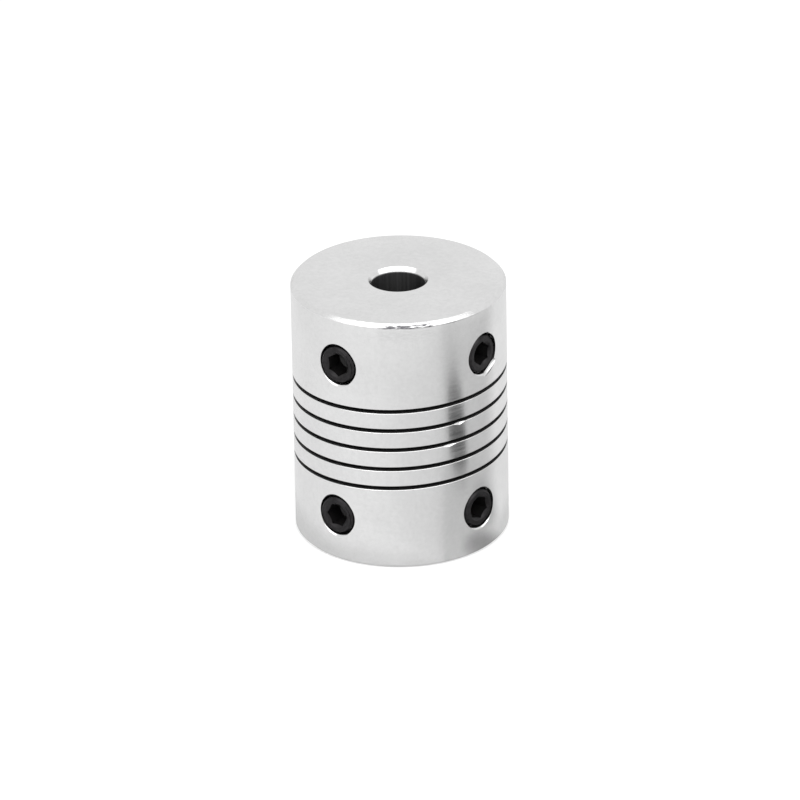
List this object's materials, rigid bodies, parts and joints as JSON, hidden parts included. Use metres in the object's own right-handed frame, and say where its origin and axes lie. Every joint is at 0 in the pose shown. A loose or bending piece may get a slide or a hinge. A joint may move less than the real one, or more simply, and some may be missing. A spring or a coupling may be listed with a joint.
{
  "type": "flexible shaft coupling",
  "caption": "One-piece helical-slit shaft coupling: a turned aluminium sleeve with a through bore and radial set screws that clamp a shaft in each end.",
  "frame": {"origin": "middle of the lower end face, on the axis of the bore", "axes": "+Z along the shafts, from the lower hub to the upper hub; the upper front set screw points along -Y"},
  "size_m": [0.0201, 0.0201, 0.025],
  "materials": {
    "turned_aluminium": "satin",
    "black_oxide_steel": "satin"
  },
  "bodies": {
    "sleeve": {"coupling_body": "turned_aluminium"},
    "upper_front_screw": {"set_screw_upper_front": "black_oxide_steel"},
    "upper_right_screw": {"set_screw_upper_right": "black_oxide_steel"},
    "lower_front_screw": {"set_screw_lower_front": "black_oxide_steel"},
    "lower_right_screw": {"set_screw_lower_right": "black_oxide_steel"}
  },
  "joints": [
    {"name": "upper_front_screw_travel", "type": "slide", "parent": "sleeve", "child": "upper_front_screw", "axis": [0, 1, 0], "range_m": [0, 0.0035]},
    {"name": "upper_right_screw_travel", "type": "slide", "parent": "sleeve", "child": "upper_right_screw", "axis": [-0.9976, 0.0698, 0], "range_m": [0, 0.00335]},
    {"name": "lower_front_screw_travel", "type": "slide", "parent": "sleeve", "child": "lower_front_screw", "axis": [0.0436, 0.999, 0], "range_m": [0, 0.0035]},
    {"name": "lower_right_screw_travel", "type": "slide", "parent": "sleeve", "child": "lower_right_screw", "axis": [-0.989, 0.1478, 0], "range_m": [0, 0.00345]}
  ]
}
